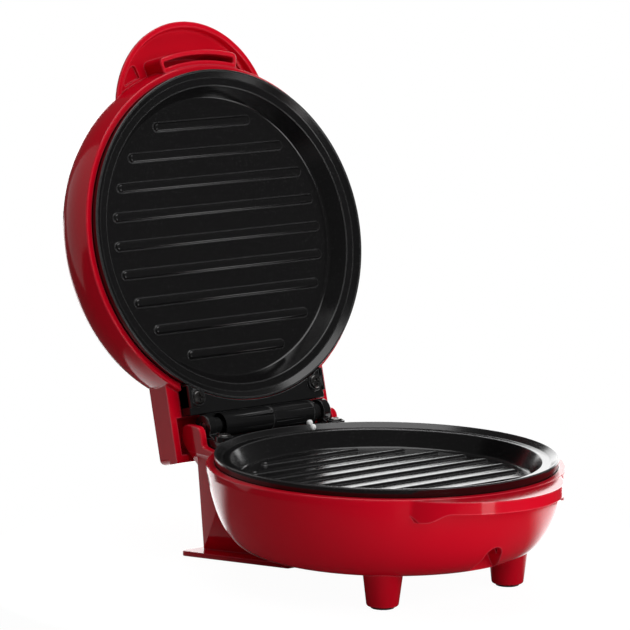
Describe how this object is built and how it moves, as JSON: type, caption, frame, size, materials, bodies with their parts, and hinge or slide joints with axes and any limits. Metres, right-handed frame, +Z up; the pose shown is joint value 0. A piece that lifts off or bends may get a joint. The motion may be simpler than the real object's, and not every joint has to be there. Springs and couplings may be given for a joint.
{
  "type": "sandwich maker",
  "caption": "Round countertop sandwich grill with two ribbed plates, a hinged domed lid with a tab handle, a bowl base on feet and a rear stand.",
  "frame": {"origin": "on the surface that it stands on, under the middle of its bounding box with the lid open", "axes": "+X to the user's right along the hinge, +Y to the back, +Z up; the thumb ledge faces -Y"},
  "size_m": [0.1336, 0.2096, 0.1962],
  "materials": {
    "red_plastic": "high gloss moulded plastic",
    "non_stick_coating": "satin black non-stick coating on cast aluminium",
    "black_plastic": "semi-gloss moulded plastic",
    "bright_steel": "bright sheet and pin steel",
    "blackened_steel": "blackened screws and thermostat cans",
    "heater_sheath": "dull grey heater tube",
    "black_rubber": "matt rubber",
    "ceramic": "matt white ceramic",
    "white_silicone": "soft white silicone",
    "amber_lens": "tinted clear plastic"
  },
  "bodies": {
    "base": {"base_cover_screw_1": "blackened_steel", "base_cover_screw_2": "blackened_steel", "base_hinge_cover": "black_plastic", "base_housing": "red_plastic", "cord_gland": "black_rubber", "left_foot_pad": "black_rubber", "left_hinge_pin": "bright_steel", "lower_grill_plate": "non_stick_coating", "lower_heat_shield": "bright_steel", "lower_heating_element": "heater_sheath", "lower_plate_screw_1": "blackened_steel", "lower_plate_screw_2": "blackened_steel", "lower_plate_screw_3": "blackened_steel", "lower_thermostat": "blackened_steel", "right_foot_pad": "black_rubber", "right_hinge_pin": "bright_steel", "silicone_bumper": "white_silicone", "terminal_block": "ceramic", "thermal_fuse": "ceramic"},
    "lid": {"indicator_lamp": "ceramic", "indicator_lens": "amber_lens", "lid_cover": "red_plastic", "lid_cover_screw_1": "blackened_steel", "lid_cover_screw_2": "blackened_steel", "lid_hinge_cover": "black_plastic", "upper_grill_plate": "non_stick_coating", "upper_heat_shield": "bright_steel", "upper_heating_element": "heater_sheath", "upper_plate_screw_1": "blackened_steel", "upper_plate_screw_2": "blackened_steel", "upper_plate_screw_3": "blackened_steel", "upper_thermostat": "blackened_steel"}
  },
  "joints": [
    {"name": "lid_hinge", "type": "hinge", "parent": "base", "child": "lid", "pos_m": [0, 0.04356, 0.0493], "axis": [1, 0, 0], "range_deg": [0, 104.8]}
  ]
}
